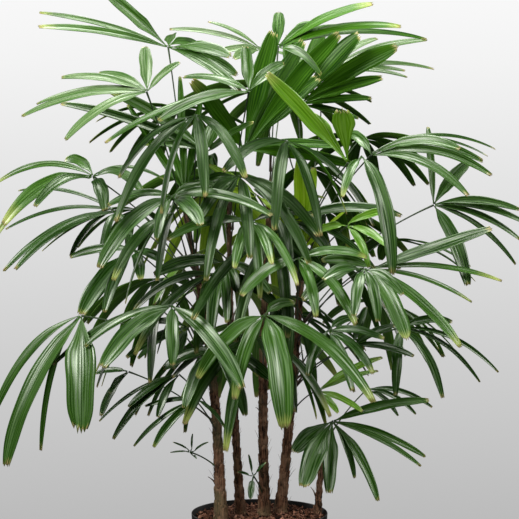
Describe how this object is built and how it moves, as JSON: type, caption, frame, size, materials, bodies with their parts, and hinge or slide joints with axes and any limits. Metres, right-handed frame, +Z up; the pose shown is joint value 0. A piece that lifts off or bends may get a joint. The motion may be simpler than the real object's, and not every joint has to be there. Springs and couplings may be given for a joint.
{
  "type": "potted lady palm",
  "caption": "Lady palm in a round nursery pot: a clump of thin fibrous canes with fan leaves of narrow pleated leaflets on long thin stalks.",
  "frame": {"origin": "middle of the pot's flat underside", "axes": "+Z up along the pot's axis, -Y towards the front of the plant, +X to its right seen from the front"},
  "size_m": [1.0507, 0.7628, 1.2895],
  "materials": {
    "pot": "black moulded plastic, slightly glossy rim",
    "potting_mix": "reddish brown bark chips",
    "canes": "brown fibrous leaf sheaths",
    "fronds": "glossy dark green pleated leaflets, pale toothed tips"
  },
  "bodies": {
    "root": {"pot": "pot", "potting_mix": "potting_mix", "cane_left": "canes", "cane_middle_left": "canes", "cane_middle": "canes", "cane_right": "canes", "cane_small": "canes", "frond_01": "fronds", "frond_02": "fronds", "frond_03": "fronds", "frond_04": "fronds", "frond_05": "fronds", "frond_06": "fronds", "frond_07": "fronds", "frond_08": "fronds", "frond_09": "fronds", "frond_10": "fronds", "frond_11": "fronds", "frond_12": "fronds", "frond_13": "fronds", "frond_14": "fronds", "frond_15": "fronds", "frond_16": "fronds", "frond_17": "fronds", "frond_18": "fronds", "frond_19": "fronds", "frond_20": "fronds", "frond_21": "fronds", "frond_22": "fronds", "frond_23": "fronds", "frond_24": "fronds", "frond_25": "fronds", "frond_26": "fronds", "frond_27": "fronds", "frond_28": "fronds", "frond_29": "fronds", "frond_30": "fronds", "frond_31": "fronds", "frond_32": "fronds", "frond_33": "fronds", "frond_34": "fronds", "frond_35": "fronds", "frond_36": "fronds", "frond_37": "fronds", "frond_38": "fronds", "frond_39": "fronds", "frond_40": "fronds", "frond_41": "fronds", "frond_42": "fronds", "frond_43": "fronds", "frond_44": "fronds", "frond_45": "fronds", "frond_46": "fronds", "frond_47": "fronds", "frond_48": "fronds", "frond_49": "fronds", "frond_50": "fronds", "frond_51": "fronds"}
  },
  "joints": []
}
